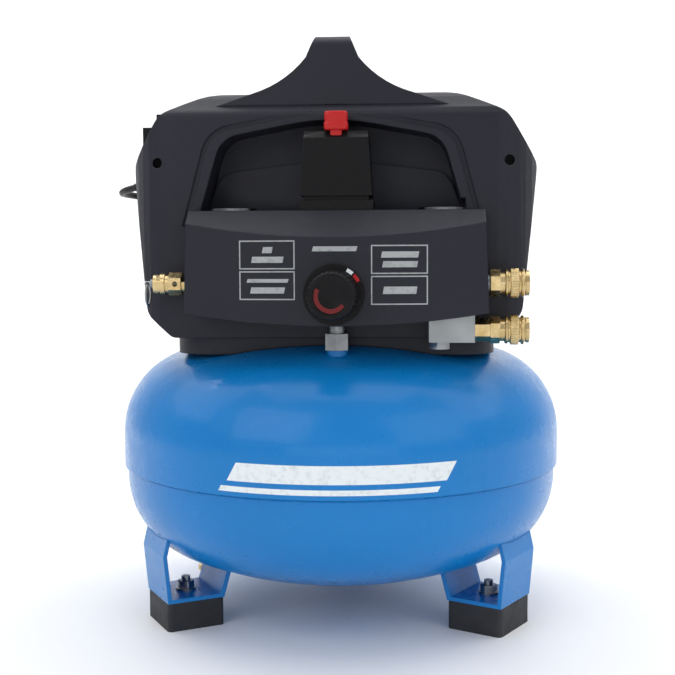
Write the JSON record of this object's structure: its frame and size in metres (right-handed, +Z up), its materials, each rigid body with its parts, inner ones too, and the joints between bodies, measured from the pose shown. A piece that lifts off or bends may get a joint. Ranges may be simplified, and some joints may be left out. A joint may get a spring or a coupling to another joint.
{
  "type": "pancake air compressor",
  "caption": "Portable pancake air compressor: low round tank on rubber feet, shrouded oil-free pump, control console, pressure switch, regulator, quick couplers and carrying handle.",
  "frame": {"origin": "centre of the base on the floor, on the tank axis", "axes": "+Z up, -Y towards the control console, +X to the right when facing the console"},
  "size_m": [0.4282, 0.5385, 0.516],
  "materials": {
    "blue_paint": "glossy mid-blue enamel",
    "foot_rubber": "moulded black rubber",
    "zinc_steel": "zinc plated",
    "brass": "machined brass",
    "copper": "copper",
    "cast_aluminium": "die cast",
    "motor_steel": "laminated and turned steel",
    "shroud_plastic": "lightly textured dark charcoal",
    "black_plastic": "satin black",
    "red_plastic": "red",
    "gauge_metal": "chrome plated",
    "gauge_glass": "clear",
    "cord_jacket": "black cord jacket"
  },
  "bodies": {
    "compressor": {"tank_lower_shell": "blue_paint", "tank_upper_shell": "blue_paint", "tank_bungs": "blue_paint", "leg_brackets": "blue_paint", "rubber_feet": "foot_rubber", "foot_fasteners": "zinc_steel", "drain_valve_body": "brass", "riser_nut": "zinc_steel", "riser_nipple": "zinc_steel", "check_valve": "brass", "transfer_tube": "copper", "pump_mounting_plate": "blue_paint", "rubber_isolators": "foot_rubber", "motor_cradle": "cast_aluminium", "motor_housing": "cast_aluminium", "motor_stator": "motor_steel", "pump_frame": "cast_aluminium", "pump_cylinder": "cast_aluminium", "valve_plate": "cast_aluminium", "cylinder_head": "cast_aluminium", "intake_filter": "black_plastic", "shroud_plinth": "shroud_plastic", "shroud_front": "shroud_plastic", "shroud_rear": "shroud_plastic", "shroud_screws": "black_plastic", "carry_handle": "shroud_plastic", "terminal_box": "black_plastic", "start_capacitor": "black_plastic", "control_console": "shroud_plastic", "air_manifold": "cast_aluminium", "outlet_block": "cast_aluminium", "regulator_body": "cast_aluminium", "regulator_collar": "black_plastic", "gauge_bodies": "gauge_metal", "gauge_glasses": "gauge_glass", "switch_base": "black_plastic", "switch_cover": "black_plastic", "safety_valve_body": "brass", "upper_coupler_body": "brass", "lower_coupler_body": "brass", "cord_gland": "cord_jacket", "power_cord": "cord_jacket", "cord_coil": "cord_jacket", "cord_tie": "cord_jacket", "plug": "cord_jacket"},
    "motor_shaft_group": {"motor_rotor": "motor_steel", "cooling_fan": "black_plastic", "crank_disc": "motor_steel"},
    "piston": {"piston_rod": "cast_aluminium"},
    "regulator_knob_group": {"regulator_knob": "black_plastic", "knob_red_arc": "red_plastic", "regulator_spindle": "zinc_steel"},
    "switch_knob": {"switch_red_knob": "red_plastic"},
    "relief_stem": {"safety_valve_stem": "zinc_steel"},
    "relief_ring": {"safety_valve_ring": "zinc_steel"},
    "upper_sleeve": {"upper_coupler_sleeve": "brass"},
    "lower_sleeve": {"lower_coupler_sleeve": "brass"},
    "tank_needle": {"tank_gauge_needle": "red_plastic"},
    "outlet_needle": {"outlet_gauge_needle": "red_plastic"},
    "drain_handle": {"drain_valve_handle": "brass"}
  },
  "joints": [
    {"name": "motor_spin", "type": "hinge", "parent": "compressor", "child": "motor_shaft_group", "pos_m": [0, 0.025, 0.34], "axis": [1, 0, 0], "continuous": true},
    {"name": "piston_slide", "type": "slide", "parent": "compressor", "child": "piston", "axis": [0, 0, 1], "range_m": [0, 0.024]},
    {"name": "regulator_turn", "type": "hinge", "parent": "compressor", "child": "regulator_knob_group", "pos_m": [0.005, -0.18, 0.297], "axis": [0, -1, 0], "range_deg": [0, 1080]},
    {"name": "switch_pull", "type": "slide", "parent": "compressor", "child": "switch_knob", "axis": [0, 0, 1], "range_m": [0, 0.006]},
    {"name": "relief_pull", "type": "slide", "parent": "compressor", "child": "relief_stem", "axis": [-1, 0, 0], "range_m": [0, 0.003], "stiffness_N_per_m": 400, "springref_m": -0.002},
    {"name": "relief_ring_swing", "type": "hinge", "parent": "relief_stem", "child": "relief_ring", "pos_m": [-0.1555, -0.124, 0.305], "axis": [0, 1, 0], "range_deg": [0, 80]},
    {"name": "upper_sleeve_slide", "type": "slide", "parent": "compressor", "child": "upper_sleeve", "axis": [-1, 0, 0], "range_m": [0, 0.003], "stiffness_N_per_m": 400, "springref_m": -0.002},
    {"name": "lower_sleeve_slide", "type": "slide", "parent": "compressor", "child": "lower_sleeve", "axis": [-1, 0, 0], "range_m": [0, 0.003], "stiffness_N_per_m": 400, "springref_m": -0.002},
    {"name": "tank_needle_turn", "type": "hinge", "parent": "compressor", "child": "tank_needle", "pos_m": [-0.083, -0.114, 0.358], "axis": [0, 0, -1], "range_deg": [0, 270], "stiffness_Nm_per_rad": 0.0005},
    {"name": "outlet_needle_turn", "type": "hinge", "parent": "compressor", "child": "outlet_needle", "pos_m": [0.093, -0.114, 0.358], "axis": [0, 0, -1], "range_deg": [0, 270], "stiffness_Nm_per_rad": 0.0005},
    {"name": "drain_turn", "type": "hinge", "parent": "compressor", "child": "drain_handle", "pos_m": [-0.131, 0, 0.028], "axis": [0, 0, -1], "range_deg": [0, 720]}
  ]
}
